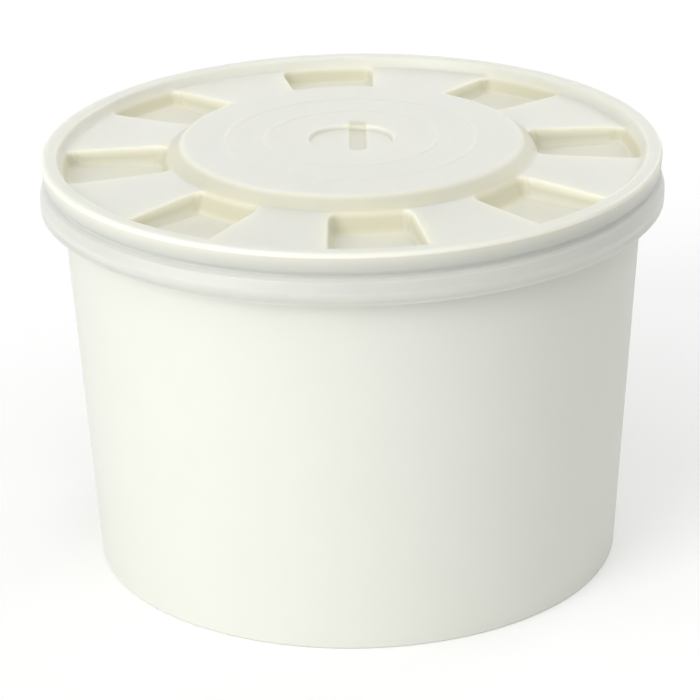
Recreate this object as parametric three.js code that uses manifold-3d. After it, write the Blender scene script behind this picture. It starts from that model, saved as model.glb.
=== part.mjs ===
// A squat paper food bucket, shut with a pressed-on plastic lid.
// Units are millimetres and +Z is up. The origin is the centre of the foot circle,
// on the plane that the bucket stands on. Two of the lid's pockets lie along the X axis.

import * as THREE from 'three';
import { mergeVertices } from 'three/addons/utils/BufferGeometryUtils.js';
import Module from 'manifold-3d';

const wasm = await Module();
wasm.setup();

const UP = new THREE.Vector3(0, 0, 1);

// Steps round the axis, and the largest turn of one step along a rounded corner
const SEGMENTS = 64;
const CORNER_STEP = Math.PI / 5;

// Gap kept between the paper and the plastic where the real ones touch
const GAP = 0.3;

// Paper bucket: a cone of board that widens upwards
const FOOT_RADIUS = 74.7;
const WALL_FLARE = 0.063;
const FOOT_WIDTH = 1.6;
const FOOT_EDGE_RADIUS = 0.4;
const BASE_RECESS = 7;

// Lid: heights above the standing plane
const DISC_TOP = 121.8;
const HUB_FLOOR = 120.6;
const DECK_INNER_TOP = 118.35;
const DECK_OUTER_TOP = 116.7;
const BEAD_TOP = 119.75;
const BEAD_FOOT = 114.6;
const GROOVE_TOP = 113.5;
const GROOVE_FOOT = 112.6;
const SKIRT_SHOULDER = 108.9;
const SKIRT_FOOT = 105.6;
const POCKET_FLOOR = 112.2;

// Lid: wall thickness, and radii from the axis outwards
const LID_WALL = 0.9;
const HUB_FLOOR_RADIUS = 11.5;
const HUB_RADIUS = 12;
const DISC_RADIUS = 47.2;
const RAMP_FOOT_RADIUS = 51.5;
const DECK_RADIUS = 80.8;
const BEAD_INNER_RADIUS = 82.5;
const BEAD_RADIUS = 87;
const BEAD_FOOT_RADIUS = 86.4;
const GROOVE_RADIUS = 85.6;
const SKIRT_RADIUS = 87.5;

// Lid: how far its edges are rounded
const DISC_EDGE_TURN = 2;
const RAMP_FOOT_TURN = 1.5;
const BEAD_TURN = 1.3;

// Pockets between the lid's ribs, at the height of the inner end of the deck and at the floor
const POCKET_COUNT = 8;
const POCKET_MOUTH = { inner: 51.5, outer: 81.6, innerHalf: 11.2, outerHalf: 14.2 };
const POCKET_BED = { inner: 53.8, outer: 79.3, innerHalf: 10.1, outerHalf: 12.9 };
const POCKET_CORNER = 1.6;
const POCKET_ARC_STEPS = 4;
const POCKET_CUT_TOP = DISC_TOP + 1;

// Rolled rim of the bucket, just under the lid's bead
const ROLL_RADIUS = 1.4;
const ROLL_CENTRE_HEIGHT = BEAD_TOP - LID_WALL - GAP - ROLL_RADIUS;
const ROLL_CENTRE_RADIUS = (BEAD_RADIUS + BEAD_FOOT_RADIUS) / 2 - LID_WALL - GAP - ROLL_RADIUS;
const ROLL_INNER_TURN = 1.1;
const RIM_THICKNESS = 1;
const RIM_FLARE_HEIGHT = 111.6;
const RIM_ROOT = POCKET_FLOOR - LID_WALL - 0.5;

const wallRadius = (height) => FOOT_RADIUS + WALL_FLARE * height;

// Points along a path of corners [x, y, radius], each corner turned by an arc of its radius
function roundedPath(corners, closed = false) {
  const points = [];
  corners.forEach(([x, y, radius = 0], index) => {
    const here = new THREE.Vector2(x, y);
    const isEnd = !closed && (index === 0 || index === corners.length - 1);
    if (isEnd || radius === 0) {
      points.push(here);
      return;
    }
    const before = corners[(index + corners.length - 1) % corners.length];
    const after = corners[(index + 1) % corners.length];
    const inward = new THREE.Vector2(x - before[0], y - before[1]).normalize();
    const outward = new THREE.Vector2(after[0] - x, after[1] - y).normalize();
    const turn = Math.atan2(inward.cross(outward), inward.dot(outward));
    const reach = radius * Math.tan(Math.abs(turn) / 2);
    const start = here.clone().addScaledVector(inward, -reach);
    const side = Math.sign(turn);
    const centre = start.clone().add(new THREE.Vector2(-inward.y, inward.x).multiplyScalar(side * radius));
    const steps = Math.max(1, Math.ceil(Math.abs(turn) / CORNER_STEP));
    for (let step = 0; step <= steps; step += 1) {
      points.push(start.clone().rotateAround(centre, (turn * step) / steps));
    }
  });
  return points;
}

// The same path moved sideways, to the right of its direction, with mitred corners
function offsetPath(points, distance) {
  const rightOf = (from, to) => new THREE.Vector2(to.y - from.y, from.x - to.x).normalize();
  return points.map((point, index) => {
    const before = points[Math.max(index - 1, 0)];
    const after = points[Math.min(index + 1, points.length - 1)];
    const first = index === 0 ? rightOf(point, after) : rightOf(before, point);
    const second = index === points.length - 1 ? first : rightOf(point, after);
    const miter = first.clone().add(second).normalize();
    return point.clone().addScaledVector(miter, distance / miter.dot(first));
  });
}

// A solid from a closed geometry, its shared vertices merged and its flat triangles dropped
function solidOf(geometry) {
  geometry.deleteAttribute('normal');
  geometry.deleteAttribute('uv');
  const merged = mergeVertices(geometry);
  const index = Array.from(merged.index.array);
  const triangles = [];
  for (let i = 0; i < index.length; i += 3) {
    const [a, b, c] = index.slice(i, i + 3);
    if (a !== b && b !== c && c !== a) {
      triangles.push(a, b, c);
    }
  }
  const vertProperties = new Float32Array(merged.attributes.position.array);
  const triVerts = new Uint32Array(triangles);
  return new wasm.Manifold(new wasm.Mesh({ numProp: 3, vertProperties, triVerts }));
}

// A half section, drawn counter-clockwise as radius and height, turned about the Z axis
function revolve(section) {
  const geometry = new THREE.LatheGeometry(section, SEGMENTS);
  geometry.rotateX(Math.PI / 2);
  return solidOf(geometry);
}

// A solid between two outlines of equally many points, each counter-clockwise seen from above
function loft(lower, upper) {
  const count = lower.length;
  const middle = (outline) =>
    outline.reduce((sum, point) => sum.add(point), new THREE.Vector3()).divideScalar(count);
  const vertices = [...lower, ...upper, middle(lower), middle(upper)];
  const index = [];
  for (let i = 0; i < count; i += 1) {
    const next = (i + 1) % count;
    index.push(i, next, count + next, i, count + next, count + i);
    index.push(next, i, 2 * count, count + i, count + next, 2 * count + 1);
  }
  const geometry = new THREE.BufferGeometry().setFromPoints(vertices);
  geometry.setIndex(index);
  return solidOf(geometry);
}

function meshOf(solid, name, material) {
  const { numProp, vertProperties, triVerts } = solid.getMesh();
  const geometry = new THREE.BufferGeometry();
  geometry.setAttribute('position', new THREE.BufferAttribute(vertProperties, numProp));
  geometry.setIndex(new THREE.BufferAttribute(triVerts, 1));
  geometry.computeVertexNormals();
  const mesh = new THREE.Mesh(geometry, material);
  mesh.name = name;
  return mesh;
}

// The shut bucket can't be seen into, so it is solid up to just under the lid's pockets.
// Its board wall stands on a narrow foot, the base is set in above it, and the wall
// ends in a rolled rim that fills the lid's bead.
function bucketSolid() {
  const footInner = FOOT_RADIUS - FOOT_WIDTH;
  const rollInner = ROLL_CENTRE_RADIUS - ROLL_RADIUS;
  const rollOuter = ROLL_CENTRE_RADIUS + ROLL_RADIUS;
  const rollTop = ROLL_CENTRE_HEIGHT + ROLL_RADIUS;
  const rollFoot = ROLL_CENTRE_HEIGHT - ROLL_RADIUS;
  const rootInner = wallRadius(RIM_ROOT) - RIM_THICKNESS;
  return revolve(roundedPath([
    [0, BASE_RECESS],
    [footInner, BASE_RECESS, FOOT_EDGE_RADIUS],
    [footInner, 0, FOOT_EDGE_RADIUS],
    [FOOT_RADIUS, 0, FOOT_EDGE_RADIUS],
    [wallRadius(RIM_FLARE_HEIGHT), RIM_FLARE_HEIGHT],
    [rollInner + RIM_THICKNESS, rollFoot],
    [rollOuter, rollFoot, ROLL_RADIUS],
    [rollOuter, rollTop, ROLL_RADIUS],
    [rollInner, rollTop, ROLL_INNER_TURN],
    [rollInner, rollFoot],
    [rootInner, RIM_FLARE_HEIGHT],
    [rootInner, RIM_ROOT],
    [0, RIM_ROOT],
  ]));
}

// Outline of a pocket: straight sides, ends that follow circles about the axis
function pocketOutline({ inner, outer, innerHalf, outerHalf }, turn, heightAt) {
  const corners = [];
  const addEnd = (radius, from, to) => {
    for (let step = 0; step <= POCKET_ARC_STEPS; step += 1) {
      const across = THREE.MathUtils.lerp(from, to, step / POCKET_ARC_STEPS);
      const isCorner = step === 0 || step === POCKET_ARC_STEPS;
      corners.push([Math.sqrt(radius ** 2 - across ** 2), across, isCorner ? POCKET_CORNER : 0]);
    }
  };
  addEnd(outer, -outerHalf, outerHalf);
  addEnd(inner, innerHalf, -innerHalf);
  return roundedPath(corners, true).map(({ x, y }) =>
    new THREE.Vector3(x, y, heightAt(Math.hypot(x, y))).applyAxisAngle(UP, turn));
}

// A pocket's size at a height, its walls leaning on in a straight line past mouth and floor
function pocketSizeAt(height, wall = 0) {
  const rise = (height - POCKET_FLOOR) / (DECK_INNER_TOP - POCKET_FLOOR);
  const between = (key) => THREE.MathUtils.lerp(POCKET_BED[key], POCKET_MOUTH[key], rise);
  return {
    inner: between('inner') - wall,
    outer: between('outer') + wall,
    innerHalf: between('innerHalf') + wall,
    outerHalf: between('outerHalf') + wall,
  };
}

function deckMiddle(radius) {
  const along = (radius - RAMP_FOOT_RADIUS) / (DECK_RADIUS - RAMP_FOOT_RADIUS);
  const inside = THREE.MathUtils.clamp(along, 0, 1);
  return THREE.MathUtils.lerp(DECK_INNER_TOP, DECK_OUTER_TOP, inside) - LID_WALL / 2;
}

// The lid is one thin wall: a raised disc with a sunk hub, ribs that slope to the bead,
// the bead over the rolled rim, a groove that grips under it and a skirt.
// Eight pockets hang between the ribs.
function lidSolid() {
  const outside = roundedPath([
    [0, HUB_FLOOR],
    [HUB_FLOOR_RADIUS, HUB_FLOOR],
    [HUB_RADIUS, DISC_TOP],
    [DISC_RADIUS, DISC_TOP, DISC_EDGE_TURN],
    [RAMP_FOOT_RADIUS, DECK_INNER_TOP, RAMP_FOOT_TURN],
    [DECK_RADIUS, DECK_OUTER_TOP],
    [BEAD_INNER_RADIUS, BEAD_TOP, BEAD_TURN],
    [BEAD_RADIUS, BEAD_TOP, BEAD_TURN],
    [BEAD_FOOT_RADIUS, BEAD_FOOT],
    [GROOVE_RADIUS, GROOVE_TOP],
    [GROOVE_RADIUS, GROOVE_FOOT],
    [SKIRT_RADIUS, SKIRT_SHOULDER],
    [SKIRT_RADIUS, SKIRT_FOOT],
  ]);
  const inside = offsetPath(outside, LID_WALL);
  inside[0].x = 0;
  let lid = revolve([...inside, ...outside.reverse()]);
  const turns = Array.from({ length: POCKET_COUNT }, (_, i) => (2 * Math.PI * i) / POCKET_COUNT);
  const bedUnderside = POCKET_FLOOR - LID_WALL;
  for (const turn of turns) {
    const lower = pocketOutline(pocketSizeAt(bedUnderside, LID_WALL), turn, () => bedUnderside);
    const upper = pocketOutline(pocketSizeAt(DECK_OUTER_TOP, LID_WALL), turn, deckMiddle);
    lid = lid.add(loft(lower, upper));
  }
  for (const turn of turns) {
    const lower = pocketOutline(pocketSizeAt(POCKET_FLOOR), turn, () => POCKET_FLOOR);
    const upper = pocketOutline(pocketSizeAt(POCKET_CUT_TOP), turn, () => POCKET_CUT_TOP);
    lid = lid.subtract(loft(lower, upper));
  }
  return lid;
}

const paperboard = new THREE.MeshStandardMaterial({ color: 0xf1f1ec, roughness: 0.6, metalness: 0 });
const milkyPlastic = new THREE.MeshStandardMaterial({ color: 0xebe9de, roughness: 0.4, metalness: 0 });

const bucket = new THREE.Group();
bucket.add(meshOf(bucketSolid(), 'paper_bucket', paperboard));
bucket.add(meshOf(lidSolid(), 'lid', milkyPlastic));

export default bucket;
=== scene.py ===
"""A squat paper food bucket, shut with a milky plastic lid, on a pale floor in soft light.

Lengths of the bucket are in millimetres and are turned to metres in the meshes. Places of the
camera, the lights and the floor are in metres. +Z is up, the bucket stands on z = 0 and its
axis is the Z axis.
"""

import math

import bpy
import numpy as np
from mathutils import Matrix, Vector


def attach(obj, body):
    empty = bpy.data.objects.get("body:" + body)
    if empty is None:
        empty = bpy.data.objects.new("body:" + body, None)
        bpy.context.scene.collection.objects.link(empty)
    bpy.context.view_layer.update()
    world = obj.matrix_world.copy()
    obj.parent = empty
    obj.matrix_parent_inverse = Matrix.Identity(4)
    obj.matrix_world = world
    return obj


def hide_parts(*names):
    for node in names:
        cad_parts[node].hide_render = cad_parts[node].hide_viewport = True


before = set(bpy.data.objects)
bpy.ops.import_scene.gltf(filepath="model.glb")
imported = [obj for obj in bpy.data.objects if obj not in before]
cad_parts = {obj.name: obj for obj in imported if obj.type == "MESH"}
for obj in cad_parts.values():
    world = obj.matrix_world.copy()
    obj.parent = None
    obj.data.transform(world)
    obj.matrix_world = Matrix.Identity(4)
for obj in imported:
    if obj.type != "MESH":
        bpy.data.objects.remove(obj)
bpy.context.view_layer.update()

MM = 0.001
ARC_STEP = math.radians(10)

# Heights of the lid above the floor, as in the solid
DISC_TOP = 121.8
HUB_FLOOR = 120.6
DECK_INNER_TOP = 118.35
DECK_OUTER_TOP = 116.7
BEAD_TOP = 119.75
BEAD_FOOT = 114.6
GROOVE_TOP = 113.5
GROOVE_FOOT = 112.6
LEDGE_HEIGHT = 111.6
SKIRT_SHOULDER = 108.9
SKIRT_FOOT = 105.6
POCKET_FLOOR = 112.2

# Radii of the lid from the axis outwards, as in the solid
HUB_FLOOR_RADIUS = 11.5
HUB_RADIUS = 12.0
DISC_RADIUS = 47.2
RAMP_FOOT_RADIUS = 51.5
DECK_RADIUS = 80.8
BEAD_INNER_RADIUS = 82.5
BEAD_RADIUS = 87.0
BEAD_FOOT_RADIUS = 86.4
GROOVE_RADIUS = 85.6
LEDGE_RADIUS = 86.7
SKIRT_RADIUS = 87.5

# Wall of the lid, and the least rounding of a bend on its underside
LID_WALL = 0.9
LEAST_ROUNDING = 0.15

# Pockets between the ribs. The bed is a pocket's floor: its radii and half widths at both ends.
# The draft is how far its walls lean out from the bed up to the deck's inner height.
POCKET_COUNT = 8
BED_INNER, BED_OUTER = 53.8, 79.3
BED_INNER_HALF, BED_OUTER_HALF = 10.1, 12.9
SIDE_DRAFT = 1.2
END_DRAFT = 2.3
SIDE_SLOPE = (DECK_INNER_TOP - POCKET_FLOOR) / SIDE_DRAFT
END_SLOPE = (DECK_INNER_TOP - POCKET_FLOOR) / END_DRAFT
POCKET_CORNER = 1.6
POCKET_FILLET = 0.7
UNDERSIDE_SPREAD = 0.75

# Rings raised on the disc, and the channel pressed into its hub
RIDGE_RADII = (24.0, 35.0)
RIDGE_HEIGHT = 0.2
RIDGE_WIDTH = 1.0
CHANNEL_START = (1.4, -5.0)
CHANNEL_END = (2.9, 13.0)
CHANNEL_WIDTH = 4.8
CHANNEL_DEPTH = 0.5
CHANNEL_EDGE = 0.5

# Rows of the lid's grid over its top and its underside: from, to and step of their radii, with
# close rows where the face bends. Past the last radius the section's own points are rows.
TOP_ROWS = (
    (0.0, 0.6, 0.6),
    (0.6, 11.0, 0.6),
    (11.1, 12.5, 0.1),
    (12.6, 22.5, 1.6),
    (22.8, 25.4, 0.2),
    (26.0, 33.6, 1.6),
    (33.8, 36.4, 0.2),
    (37.0, 44.5, 1.5),
    (45.0, 56.0, 0.3),
    (56.5, 77.5, 1.75),
    (77.7, 84.5, 0.25),
)
UNDERSIDE_ROWS = (
    (0.0, 0.8, 0.8),
    (0.8, 15.5, 0.8),
    (17.0, 50.0, 2.0),
    (50.4, 56.0, 0.4),
    (57.0, 77.0, 2.5),
    (77.3, 84.5, 0.4),
)
LAST_ROW_RADIUS = 84.6

# Columns of the lid's grid from a pocket's middle to the middle of the rib beside it: shares of
# the bed's half width, steps about each edge of the wall, and shares of what is left to the rib
BED_SHARES = np.array([0.15, 0.4, 0.62, 0.78, 0.88])
EDGE_STEPS = np.array([-0.6, -0.42, -0.24, -0.08, 0.08])
RIB_SHARES = np.array([0.2, 0.5, 0.85])

# Marks of painted shade on the lid, with a yellower stretch tint in its hollows: the lengths over
# which they fade in down the ramp and out past its foot, the shares of a pocket's depth over
# which they fade in down its wall and back near its bed, how much of the full mark a bed and the
# channel take, and where below its top the bead's wall fades in
RAMP_FALL = 1.4
RAMP_FOOT_FADE = 1.6
WALL_FADE = 0.3
BED_DEPTH, BED_FADE = 0.75, 0.2
BED_MARK = 0.3
CHANNEL_MARK = 0.8
LIP_START, LIP_FADE = 0.8, 1.2

# Paper: thickness of the board, the conical wall, the folded foot with its hem, and the base
# whose edge turns down between them
BOARD = 0.45
FOOT_RADIUS = 74.7
WALL_FLARE = 0.063
FOOT_WIDTH = 1.6
FOLD_ROUNDING = 0.55
HEM_GAP = 0.5
BASE_RECESS = 7.0
BASE_ROUNDING = 0.7
BASE_TUCK_END = 1.2

# Rim: where the wall flares out, the neck that turns up, and the board rolled outwards
RIM_FLARE_HEIGHT = 111.6
RIM_FLARE_ROUNDING = 4.0
NECK_RISE = 0.4
NECK_ROUNDING = 0.8
ROLL_RADIUS = 1.4
ROLL_CENTRE_HEIGHT = 117.15
ROLL_CENTRE_RADIUS = 84.1
ROLL_END = 0.9

# Lap where the wall's ends are glued: its angle in degrees, the width of its fade, how far it
# stands out, how steep its edge is, where it ends under the rim, and the columns at its edge,
# which are spaced in millimetres at one height
LAP_ANGLE = 104.0
LAP_WIDTH = 9.0
LAP_HEIGHT = 0.36
LAP_EDGE = 0.15
LAP_END = 3.0
LAP_COLUMNS = np.array([-0.4, 0.0, LAP_EDGE, 0.5, 1.5])
LAP_COLUMNS_HEIGHT = 56.0
ROUND_COLUMNS = 240

# The photographed view, in a square picture: places in metres, roll in degrees, lens in
# millimetres
CAMERA_PLACE = (-0.07628, -0.87194, 0.41737)
CAMERA_AIM = (-0.00149, -0.00073, 0.05790)
CAMERA_ROLL = -1.0146
CAMERA_LENS = 169.54

# Brightness of the surround straight overhead, and the share that it gains towards the front
SKY_STRENGTH = 1.05
SKY_FRONT = 0.85


def wall_radius(height):
    """Outer radius of the paper cone: it grows evenly with height."""
    return FOOT_RADIUS + WALL_FLARE * height


# Sections and surfaces


def rounded_path(corners):
    """Points along straight lines between corners (x, y, radius), each corner an arc of its radius.

    An arc leaves its corner's two lines at radius * tan(turn / 2) from the corner.
    """
    points = []
    for index, (x, y, radius) in enumerate(corners):
        here = np.array([x, y], float)
        if radius == 0 or index in (0, len(corners) - 1):
            points.append(here)
            continue
        into = here - np.array(corners[index - 1][:2])
        out = np.array(corners[index + 1][:2]) - here
        into /= np.linalg.norm(into)
        out /= np.linalg.norm(out)
        turn = math.atan2(into[0] * out[1] - into[1] * out[0], into @ out)
        start = here - into * radius * math.tan(abs(turn) / 2)
        side = math.copysign(1.0, turn)
        centre = start + side * radius * np.array([-into[1], into[0]])
        angles = np.linspace(0, turn, max(2, math.ceil(abs(turn) / ARC_STEP) + 1))
        spoke = start - centre
        arc = np.stack([
            spoke[0] * np.cos(angles) - spoke[1] * np.sin(angles),
            spoke[0] * np.sin(angles) + spoke[1] * np.cos(angles),
        ], axis=-1)
        points.extend(centre + arc)
    return np.array(points)


def offset_path(points, distance):
    """The same path moved to the right of its direction by the distance, with mitred corners."""
    along = np.diff(points, axis=0)
    right = np.stack([along[:, 1], -along[:, 0]], axis=-1)
    right /= np.linalg.norm(right, axis=1, keepdims=True)
    before = np.vstack([right[:1], right])
    after = np.vstack([right, right[-1:]])
    miter = before + after
    miter /= np.linalg.norm(miter, axis=1, keepdims=True)
    return points + miter * distance / np.sum(miter * before, axis=1, keepdims=True)


def divided(points, longest=4.0):
    """The path with points added evenly on each line that is longer than the given length."""
    pieces = [points[:1]]
    for start, end in zip(points[:-1], points[1:]):
        count = max(1, math.ceil(np.linalg.norm(end - start) / longest))
        share = np.arange(1, count + 1)[:, None] / count
        pieces.append(start + (end - start) * share)
    return np.vstack(pieces)


def ribbon(centre_line, thickness):
    """A closed section of even thickness about a line: one side out, the other side back."""
    one_side = offset_path(centre_line, thickness / 2)
    other_side = offset_path(centre_line, -thickness / 2)
    return np.vstack([one_side, other_side[::-1], one_side[:1]])


def grid_faces(rows, columns):
    """Four-sided faces of a grid whose columns close on themselves."""
    row, column = np.meshgrid(np.arange(rows - 1), np.arange(columns), indexing="ij")
    onward = (column + 1) % columns
    corners = [
        row * columns + column,
        row * columns + onward,
        (row + 1) * columns + onward,
        (row + 1) * columns + column,
    ]
    return np.stack(corners, axis=-1).reshape(-1, 4)


def surface(name, points, material, poles=False):
    """A smooth mesh object from a grid of points in millimetres, rows by columns.

    With poles, the first and the last row are each one point, and triangles run to them.
    Without poles, the last row meets the first, so that the section closes on itself.
    """
    rows, columns = points.shape[:2]
    if poles:
        ring = grid_faces(rows - 2, columns)
        inner = points[1:-1].reshape(-1, 3)
        vertices = np.vstack([inner, points[0, :1], points[-1, :1]])
        first, last = len(inner), len(inner) + 1
        here = np.arange(columns)
        onward = (here + 1) % columns
        top = np.stack([np.full(columns, first), onward, here], axis=-1)
        foot = (rows - 3) * columns
        bottom = np.stack([np.full(columns, last), foot + here, foot + onward], axis=-1)
        triangles = np.vstack([top, bottom])
    else:
        ring = grid_faces(rows, columns) % ((rows - 1) * columns)
        vertices = points[:-1].reshape(-1, 3)
        triangles = np.zeros((0, 3), int)
    loops = np.concatenate([ring.ravel(), triangles.ravel()])
    sizes = np.concatenate([np.full(len(ring), 4), np.full(len(triangles), 3)])
    starts = np.concatenate([[0], np.cumsum(sizes)[:-1]])
    mesh = bpy.data.meshes.new(name)
    mesh.vertices.add(len(vertices))
    mesh.vertices.foreach_set("co", (vertices * MM).ravel())
    mesh.loops.add(len(loops))
    mesh.loops.foreach_set("vertex_index", loops.astype(np.int32))
    mesh.polygons.add(len(sizes))
    mesh.polygons.foreach_set("loop_start", starts.astype(np.int32))
    mesh.update(calc_edges=True)
    mesh.polygons.foreach_set("use_smooth", np.ones(len(sizes), bool))
    mesh.validate()
    piece = bpy.data.objects.new(name, mesh)
    bpy.context.collection.objects.link(piece)
    mesh.materials.append(material)
    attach(piece, "root")
    return piece


def turned(radius, height, angles):
    """A section's points carried round the axis: x = r cos a, y = r sin a, z their height."""
    x = radius * np.cos(angles)
    y = radius * np.sin(angles)
    return np.stack([x, y, np.broadcast_to(height, x.shape)], axis=-1)


# The lid


def lid_corners():
    """Corners of the lid's outer face from the axis to the skirt: radius, height, rounding."""
    return np.array([
        (0, HUB_FLOOR, 0),
        (HUB_FLOOR_RADIUS, HUB_FLOOR, 0.3),
        (HUB_RADIUS, DISC_TOP, 0.4),
        (DISC_RADIUS, DISC_TOP, 2.0),
        (RAMP_FOOT_RADIUS, DECK_INNER_TOP, 1.5),
        (DECK_RADIUS, DECK_OUTER_TOP, 0.7),
        (BEAD_INNER_RADIUS, BEAD_TOP, 1.3),
        (BEAD_RADIUS, BEAD_TOP, 1.3),
        (BEAD_FOOT_RADIUS, BEAD_FOOT, 0.4),
        (GROOVE_RADIUS, GROOVE_TOP, 0.4),
        (GROOVE_RADIUS, GROOVE_FOOT, 0.3),
        (LEDGE_RADIUS, LEDGE_HEIGHT, 0.6),
        (SKIRT_RADIUS, SKIRT_SHOULDER, 0.8),
        (SKIRT_RADIUS, SKIRT_FOOT, 0),
    ])


def inner_corners(corners, wall):
    """The corners moved in by the wall. A left bend gets wider by it, any other tighter."""
    along = np.diff(corners[:, :2], axis=0)
    left_turn = along[:-1, 0] * along[1:, 1] > along[:-1, 1] * along[1:, 0]
    rounding = corners[:, 2].copy()
    tighter = np.maximum(rounding[1:-1] - wall, LEAST_ROUNDING)
    rounding[1:-1] = np.where(left_turn, rounding[1:-1] + wall, tighter)
    return np.column_stack([offset_path(corners[:, :2], wall), rounding])


def with_rows(path, rows):
    """The path with points at the rows' radii, and its own points beyond the last row's radius."""
    radii = np.concatenate([np.arange(*row) for row in rows])
    top = int(np.argmax(path[:, 0] >= LAST_ROW_RADIUS))
    heights = np.interp(radii, path[:top + 1, 0], path[:top + 1, 1])
    return np.vstack([np.stack([radii, heights], axis=-1), path[top + 1:]])


def smooth_step(share):
    """Smooth rise from 0 to 1 as the share goes from 0 to 1: 3 s^2 - 2 s^3."""
    held = np.clip(share, 0, 1)
    return held * held * (3 - 2 * held)


def ridge(radius):
    """Height of the rings on the disc: a half cosine across each ring."""
    height = np.zeros_like(radius)
    for middle in RIDGE_RADII:
        across = np.clip(np.abs(radius - middle) / RIDGE_WIDTH, 0, 1)
        height += RIDGE_HEIGHT * (0.5 + 0.5 * np.cos(math.pi * across))
    return height


def channel(x, y, width):
    """Depth of the channel: full along its middle, falling off in a smooth step at its edge."""
    start, end = np.array(CHANNEL_START), np.array(CHANNEL_END)
    line = end - start
    share = np.clip(((x - start[0]) * line[0] + (y - start[1]) * line[1]) / (line @ line), 0, 1)
    away = np.hypot(x - start[0] - share * line[0], y - start[1] - share * line[1])
    return CHANNEL_DEPTH * smooth_step((width / 2 - away) / CHANNEL_EDGE + 0.5)


def half_width(radius):
    """Half the width of a pocket's floor at a radius: it grows evenly outwards."""
    along = (radius - BED_INNER) / (BED_OUTER - BED_INNER)
    return BED_INNER_HALF + (BED_OUTER_HALF - BED_INNER_HALF) * along


def wall_foot(out):
    """Height of a pocket's wall at a distance outside its floor: flat, an arc, then a slope."""
    slant = math.atan(SIDE_SLOPE)
    reach = POCKET_FILLET * math.tan(slant / 2)
    inside = np.clip(out + reach, 0, POCKET_FILLET)
    arc = POCKET_FILLET - np.sqrt(POCKET_FILLET ** 2 - inside ** 2)
    return np.where(out < reach * math.cos(slant), arc, SIDE_SLOPE * out)


def pocketed(x, y, deck, floor, spread):
    """Height of the lid with its pockets sunk from the deck to their floor.

    The distance outside a pocket's floor is that of a rectangle with rounded corners. Up to
    half way out across the wall, the height is the floor's and the curve that rises from it.
    Beyond that it is the deck's less the same curve turned over, so both edges are alike.
    """
    radius = np.hypot(x, y)
    sector = 2 * math.pi / POCKET_COUNT
    angle = (np.arctan2(y, x) + sector / 2) % sector - sector / 2
    side = np.abs(radius * np.sin(angle)) - half_width(radius) - spread
    end = np.maximum(BED_INNER - radius, radius - BED_OUTER) * END_SLOPE / SIDE_SLOPE - spread
    side_in, end_in = side + POCKET_CORNER, end + POCKET_CORNER
    outside = np.hypot(np.maximum(side_in, 0), np.maximum(end_in, 0))
    out = outside + np.minimum(np.maximum(side_in, end_in), 0) - POCKET_CORNER
    width = (deck - floor) / SIDE_SLOPE
    return np.where(out < width / 2, floor + wall_foot(out), deck - wall_foot(width - out))


def lid_angles(radius):
    """Angles of the grid's columns at each radius, so that lines of the grid follow the pockets.

    Within half a sector they stand at shares of the bed's half width, then close together over
    the wall and its rounded edges, then at shares of what is left to the rib's middle. Inside
    and outside the pockets they keep the angles that they have just past the pockets' ends.
    """
    held = np.clip(radius, BED_INNER - END_DRAFT - 1.5, BED_OUTER + 2.5)[:, None]
    deck = np.interp(held, [RAMP_FOOT_RADIUS, DECK_RADIUS], [DECK_INNER_TOP, DECK_OUTER_TOP])
    wall = (deck - POCKET_FLOOR) / SIDE_SLOPE
    half = half_width(held)
    bed_columns = half * BED_SHARES
    foot_columns = half + EDGE_STEPS
    wall_columns = half + wall / 2
    mouth_columns = half + wall - EDGE_STEPS[::-1]
    across = np.hstack([bed_columns, foot_columns, wall_columns, mouth_columns])
    pocket_side = np.arcsin(across / held)
    middle = math.pi / POCKET_COUNT
    edge = pocket_side[:, -1:]
    rib_side = edge + (middle - edge) * RIB_SHARES
    one_half = np.hstack([pocket_side, rib_side])
    sector = np.hstack([-one_half[:, ::-1], one_half])
    turns = 2 * math.pi * np.arange(POCKET_COUNT) / POCKET_COUNT
    return (sector[:, None, :] + turns[None, :, None]).reshape(len(radius), -1)


def lid_face(section, below, spread):
    """One face of the lid: its section carried round, with pockets and the channel pressed in.

    The underside is the same shape, its pockets lower by the wall and wider by the spread.
    """
    grid = turned(section[:, :1], section[:, 1:], lid_angles(section[:, 0]))
    x, y, height = np.moveaxis(grid, -1, 0)
    sunk = pocketed(x, y, height, POCKET_FLOOR - below, spread)
    within = section[:, :1] < BEAD_INNER_RADIUS
    z = np.where(within, sunk, height) - channel(x, y, CHANNEL_WIDTH + 2 * below)
    return np.stack([x, y, z], axis=-1)


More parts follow.
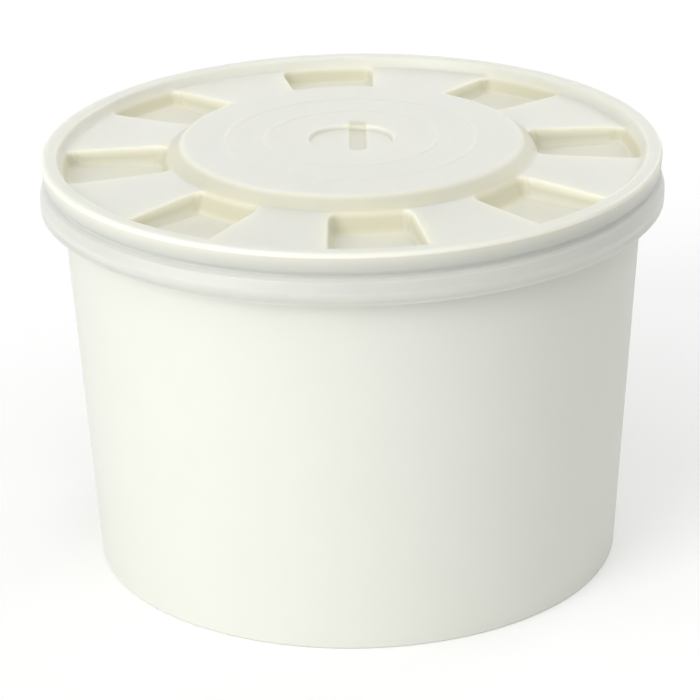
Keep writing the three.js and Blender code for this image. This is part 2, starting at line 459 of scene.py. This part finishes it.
def mark_lid(lid):
    """Keeps three shares from 0 to 1 on each point of the lid, for its material.

    The first share is a yellower tint where the plastic was stretched, with painted shade on
    the ramp, in the pockets and in the channel. On the ramp it is a smooth step of the fall
    from the disc, which ends past the ramp's foot. A pocket's walls take most of it and its
    floor a third as much, and in the hub the share follows the channel. The second is painted
    shade, 1 from the bead's outer wall down. The third is painted shade on the skirt, 1 from
    the groove down, and is laid over the second.
    """
    mesh = lid.data
    place = np.empty(len(mesh.vertices) * 3)
    mesh.vertices.foreach_get("co", place)
    x, y, z = place.reshape(-1, 3).T / MM
    radius = np.hypot(x, y)
    deck = np.interp(radius, [RAMP_FOOT_RADIUS, DECK_RADIUS], [DECK_INNER_TOP, DECK_OUTER_TOP])
    fallen = smooth_step((DISC_TOP - z) / RAMP_FALL)
    on_ramp = fallen * smooth_step((RAMP_FOOT_RADIUS + 1.0 - radius) / RAMP_FOOT_FADE)
    on_ramp = np.where(radius > HUB_RADIUS + 2.0, on_ramp, 0)
    depth = (deck - z) / (deck - POCKET_FLOOR) * (radius > RAMP_FOOT_RADIUS - 1.0)
    on_bed = smooth_step((depth - BED_DEPTH) / BED_FADE)
    in_pocket = smooth_step(depth / WALL_FADE) * (1 - (1 - BED_MARK) * on_bed)
    in_channel = CHANNEL_MARK * channel(x, y, CHANNEL_WIDTH) / CHANNEL_DEPTH
    inner = np.maximum(np.maximum(on_ramp, in_pocket), in_channel)
    # Painted shade with a yellower stretch tint on the ramp, in the pockets and in the channel
    drawn = np.where(radius < BEAD_INNER_RADIUS, inner, 0)
    outside = radius > ROLL_CENTRE_RADIUS
    # Painted shade on the bead's outer wall and on the skirt
    lip_shade = np.where(outside, smooth_step((BEAD_TOP - LIP_START - z) / LIP_FADE), 0)
    skirt = np.where(outside, smooth_step(GROOVE_TOP - z), 0)
    for name, share in (("drawn", drawn), ("lip_shade", lip_shade), ("skirt", skirt)):
        mark = mesh.attributes.new(name, "FLOAT", "POINT")
        mark.data.foreach_set("value", share)


def make_lid(material):
    """The lid as one closed wall: its outer face, the skirt's foot, and back along the inside."""
    corners = lid_corners()
    outer = with_rows(rounded_path(corners), TOP_ROWS)
    inner = with_rows(rounded_path(inner_corners(corners, LID_WALL)), UNDERSIDE_ROWS)
    top = lid_face(outer, 0.0, 0.0)
    top[..., 2] += ridge(np.hypot(top[..., 0], top[..., 1]))
    under = lid_face(inner, LID_WALL, UNDERSIDE_SPREAD)
    points = np.concatenate([top, under[::-1]])
    lid = surface("milky_lid", points[::-1], material, poles=True)
    mark_lid(lid)
    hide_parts("lid")


# The paper bucket


def lap(angles, height):
    """How far the wall stands out where its end laps over its start.

    It is a steep step at the lap's edge that fades sideways, and it ends just under the rim.
    """
    beyond = (angles - math.radians(LAP_ANGLE)) * wall_radius(RIM_FLARE_HEIGHT / 2)
    step = np.clip(beyond / LAP_EDGE, 0, 1) * smooth_step(1 - (beyond - LAP_WIDTH) / LAP_WIDTH)
    reach = np.clip((RIM_FLARE_HEIGHT - height) / LAP_END, 0, 1)
    return LAP_HEIGHT * step * reach


def board_middle(height):
    """Radius halfway through the board at a height: only its outer face lies beyond it."""
    return wall_radius(height) - BOARD / 2


def board_angles():
    """Columns round the bucket: even steps, with close ones at the edge of the lap."""
    even = np.linspace(0, 2 * math.pi, ROUND_COLUMNS, endpoint=False)
    close = math.radians(LAP_ANGLE) + LAP_COLUMNS / wall_radius(LAP_COLUMNS_HEIGHT)
    clear = np.abs(even - math.radians(LAP_ANGLE)) > math.pi / ROUND_COLUMNS
    return np.sort(np.concatenate([even[clear], close]))


def make_wall(material):
    """The board wall as one ribbon carried round: hem, fold at the foot, cone and rolled rim."""
    half = BOARD / 2
    hem = FOOT_RADIUS - FOOT_WIDTH + half
    roll_out = ROLL_CENTRE_RADIUS + ROLL_RADIUS - half
    roll_in = ROLL_CENTRE_RADIUS - ROLL_RADIUS + half
    roll_top = ROLL_CENTRE_HEIGHT + ROLL_RADIUS - half
    roll_foot = ROLL_CENTRE_HEIGHT - ROLL_RADIUS + half
    flare = wall_radius(RIM_FLARE_HEIGHT) - half
    turn = ROLL_RADIUS - half
    line = rounded_path([
        (hem, BASE_RECESS - HEM_GAP, 0),
        (hem, half, FOLD_ROUNDING),
        (wall_radius(0) - half, half, FOLD_ROUNDING),
        (flare, RIM_FLARE_HEIGHT, RIM_FLARE_ROUNDING),
        (roll_in, roll_foot + NECK_RISE, NECK_ROUNDING),
        (roll_in, roll_top, turn),
        (roll_out, roll_top, turn),
        (roll_out, roll_foot, turn),
        (roll_in + ROLL_END, roll_foot, 0),
    ])
    section = ribbon(divided(line), BOARD)
    angles = board_angles()
    outside = section[:, :1] > board_middle(section[:, 1:])
    radius = section[:, :1] + lap(angles, section[:, 1:]) * outside
    points = turned(radius, section[:, 1:], angles)
    wall = surface("paper_wall", points, material)
    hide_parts("paper_bucket")


def make_base(material):
    """The set-in base: a flat disc whose edge turns down between the wall and its hem."""
    half = BOARD / 2
    tuck = FOOT_RADIUS - FOOT_WIDTH / 2
    line = rounded_path([
        (0, BASE_RECESS + half, 0),
        (tuck, BASE_RECESS + half, BASE_ROUNDING),
        (tuck, BASE_TUCK_END, 0),
    ])
    line = divided(line, longest=6.0)
    lower = offset_path(line, half)
    upper = offset_path(line, -half)
    lower[0, 0] = upper[0, 0] = 0
    angles = np.linspace(0, 2 * math.pi, ROUND_COLUMNS, endpoint=False)
    section = np.vstack([lower, upper[::-1]])
    points = turned(section[:, :1], section[:, 1:], angles)
    surface("paper_base", points, material, poles=True)


# Materials


def linear(code):
    """Linear colour of an sRGB code such as 'F2F0E4'."""
    shares = np.array([int(code[i:i + 2], 16) for i in (0, 2, 4)]) / 255
    channels = np.where(shares <= 0.04045, shares / 12.92, ((shares + 0.055) / 1.055) ** 2.4)
    return (*channels.tolist(), 1.0)


def repeats(size):
    """Scale of a pattern on Object coordinates whose marks are about this many mm across."""
    return 1 / (size * MM)


def node(tree, kind, inputs=None, **settings):
    """A node of one kind with its settings; an input is a value or the socket it is linked to."""
    made = tree.nodes.new(kind)
    for name, value in settings.items():
        setattr(made, name, value)
    for name, value in (inputs or {}).items():
        if isinstance(value, bpy.types.NodeSocket):
            tree.links.new(value, made.inputs[name])
        else:
            made.inputs[name].default_value = value
    return made


def new_material(name):
    """An empty node material and the output node that its shader goes to."""
    material = bpy.data.materials.new(name)
    material.use_nodes = True
    tree = material.node_tree
    tree.nodes.clear()
    return material, tree, tree.nodes.new("ShaderNodeOutputMaterial")


def coated_board():
    """White coated paperboard: matt and slightly warm, with faint fibre under the coating.

    Real fibres are far finer. They are made about a millimetre across so that they show.
    """
    material, tree, output = new_material("coated_paperboard")
    place = node(tree, "ShaderNodeTexCoord").outputs["Object"]
    cloud = node(tree, "ShaderNodeTexNoise", {
        "Vector": place,
        "Scale": repeats(16.67),
        "Detail": 4.0,
    }).outputs["Fac"]
    colour = node(tree, "ShaderNodeMixRGB", {
        "Fac": cloud,
        "Color1": linear("DADBD2"),
        "Color2": linear("DDDED5"),
    }).outputs["Color"]
    fibre = node(tree, "ShaderNodeTexNoise", {
        "Vector": place,
        "Scale": repeats(1.111),
        "Detail": 6.0,
    }).outputs["Fac"]
    bump = node(tree, "ShaderNodeBump", {
        "Strength": 0.15,
        "Distance": 0.05 * MM,
        "Height": fibre,
    })
    shader = node(tree, "ShaderNodeBsdfPrincipled", {
        "Base Color": colour,
        "Roughness": 0.55,
        "IOR": 1.47,
        "Specular IOR Level": 0.4,
        "Normal": bump.outputs["Normal"],
    })
    tree.links.new(shader.outputs["BSDF"], output.inputs["Surface"])
    return material


def milky_polypropylene():
    """Natural polypropylene, formed thin: milky and satin, and part of the light goes through it.

    Where it was stretched thinner, on the ramp and in the pockets, it is a little more yellow,
    and it is painted darker there as shade for the hollows. The wall of the bead and the skirt
    stand free of the board, so less light comes back through them: they are painted greyer as
    that shade. The grain of the mould is made coarser than it is, so that it shows.
    """
    material, tree, output = new_material("milky_polypropylene")
    place = node(tree, "ShaderNodeTexCoord").outputs["Object"]
    cloud = node(tree, "ShaderNodeTexNoise", {
        "Vector": place,
        "Scale": repeats(22.22),
        "Detail": 3.0,
    }).outputs["Fac"]
    colour = node(tree, "ShaderNodeMixRGB", {
        "Fac": cloud,
        "Color1": linear("F7F2DF"),
        "Color2": linear("FAF6E3"),
    }).outputs["Color"]
    # Painted shade: the marks mix in darker tones for the stretched hollows, the bead's outer wall
    # and the skirt
    marks = (
        ("drawn", "DDDBC6", "E0DECA"),
        ("lip_shade", "BFC1BB", "C2C4BE"),
        ("skirt", "CDCEC9", "D0D1CC"),
    )
    for mark, dark, light in marks:
        tone = node(tree, "ShaderNodeMixRGB", {
            "Fac": cloud,
            "Color1": linear(dark),
            "Color2": linear(light),
        }).outputs["Color"]
        colour = node(tree, "ShaderNodeMixRGB", {
            "Fac": node(tree, "ShaderNodeAttribute", attribute_name=mark).outputs["Fac"],
            "Color1": colour,
            "Color2": tone,
        }).outputs["Color"]
    grain = node(tree, "ShaderNodeTexNoise", {
        "Vector": place,
        "Scale": repeats(0.7143),
        "Detail": 3.0,
    }).outputs["Fac"]
    bump = node(tree, "ShaderNodeBump", {
        "Strength": 0.1,
        "Distance": 0.03 * MM,
        "Height": grain,
    })
    shader = node(tree, "ShaderNodeBsdfPrincipled", {
        "Base Color": colour,
        "Roughness": 0.38,
        "IOR": 1.49,
        "Subsurface Weight": 1.0,
        "Subsurface Radius": (1.0, 0.95, 0.75),
        "Subsurface Scale": 2 * MM,
        "Normal": bump.outputs["Normal"],
    })
    tree.links.new(shader.outputs["BSDF"], output.inputs["Surface"])
    return material


def pale_floor():
    """Seamless white paper under the bucket, matt and even."""
    material, tree, output = new_material("studio_paper")
    place = node(tree, "ShaderNodeTexCoord").outputs["Object"]
    cloud = node(tree, "ShaderNodeTexNoise", {
        "Vector": place,
        "Scale": repeats(333.3),
        "Detail": 2.0,
    }).outputs["Fac"]
    colour = node(tree, "ShaderNodeMixRGB", {
        "Fac": cloud,
        "Color1": linear("F4F4F4"),
        "Color2": linear("F8F8F8"),
    }).outputs["Color"]
    shader = node(tree, "ShaderNodeBsdfPrincipled", {
        "Base Color": colour,
        "Roughness": 0.9,
        "Emission Color": linear("FFFFFF"),
        "Emission Strength": 0.08,
    })
    tree.links.new(shader.outputs["BSDF"], output.inputs["Surface"])
    return material


# Floor, light and camera


def make_floor(material, reach=4.0):
    """A flat square under the bucket that fills the picture."""
    mesh = bpy.data.meshes.new("floor")
    corners = [(-reach, -reach, 0), (reach, -reach, 0), (reach, reach, 0), (-reach, reach, 0)]
    mesh.from_pydata(corners, [], [(0, 1, 2, 3)])
    mesh.materials.append(material)
    floor = bpy.data.objects.new("floor", mesh)
    bpy.context.collection.objects.link(floor)


def soft_box(name, place, aim, width, height, watts):
    """A white rectangular light at a place, facing a point."""
    light = bpy.data.lights.new(name, "AREA")
    light.shape = "RECTANGLE"
    light.size, light.size_y = width, height
    light.energy = watts
    lamp = bpy.data.objects.new(name, light)
    lamp.location = place
    lamp.rotation_euler = (Vector(aim) - Vector(place)).to_track_quat("-Z", "Y").to_euler()
    bpy.context.collection.objects.link(lamp)


def make_surround():
    """Soft light from above: strongest overhead, none at the horizon, and more at the front."""
    world = bpy.data.worlds.new("surround")
    world.use_nodes = True
    tree = world.node_tree
    way = node(tree, "ShaderNodeTexCoord").outputs["Generated"]
    parts = node(tree, "ShaderNodeSeparateXYZ", {"Vector": way}).outputs
    above = node(tree, "ShaderNodeMath", {
        0: parts["Z"],
        1: 0.0,
    }, operation="MAXIMUM").outputs["Value"]
    front = node(tree, "ShaderNodeMath", {
        0: parts["Y"],
        1: -SKY_FRONT * SKY_STRENGTH,
        2: SKY_STRENGTH,
    }, operation="MULTIPLY_ADD").outputs["Value"]
    strength = node(tree, "ShaderNodeMath", {0: above, 1: front}, operation="MULTIPLY")
    background = tree.nodes["Background"]
    background.inputs["Color"].default_value = linear("FFFFFF")
    tree.links.new(strength.outputs["Value"], background.inputs["Strength"])
    bpy.context.scene.world = world


def make_light():
    """Panels at the front left, low at the left, low at the back and at the back right."""
    soft_box("front_left", (-0.95, -1.05, 0.8), (0, 0, 0.06), 0.8, 0.8, 7.5)
    soft_box("low_left", (-1.2, -0.7, 0.16), (0, 0, 0.06), 1.0, 0.3, 5.0)
    soft_box("low_back", (0, 1.6, 0.5), (0, 0, 0.1), 2.4, 0.9, 8.0)
    soft_box("back_right", (1.05, 1.0, 0.9), (0, 0, 0.1), 0.9, 0.9, 5.0)
    bpy.context.scene.view_settings.view_transform = "Standard"


def make_camera():
    """A long lens at the photographed place, level with its aim and then tipped by its roll."""
    data = bpy.data.cameras.new("camera")
    data.sensor_width = 36.0
    data.lens = CAMERA_LENS
    data.clip_start, data.clip_end = 0.05, 50.0
    camera = bpy.data.objects.new("camera", data)
    place = Vector(CAMERA_PLACE)
    level = (Vector(CAMERA_AIM) - place).to_track_quat("-Z", "Y").to_matrix().to_4x4()
    roll = Matrix.Rotation(math.radians(CAMERA_ROLL), 4, "Z")
    camera.matrix_world = Matrix.Translation(place) @ level @ roll
    bpy.context.collection.objects.link(camera)
    bpy.context.scene.camera = camera


make_camera()
make_surround()
make_light()
make_floor(pale_floor())
board = coated_board()
make_wall(board)
make_base(board)
make_lid(milky_polypropylene())
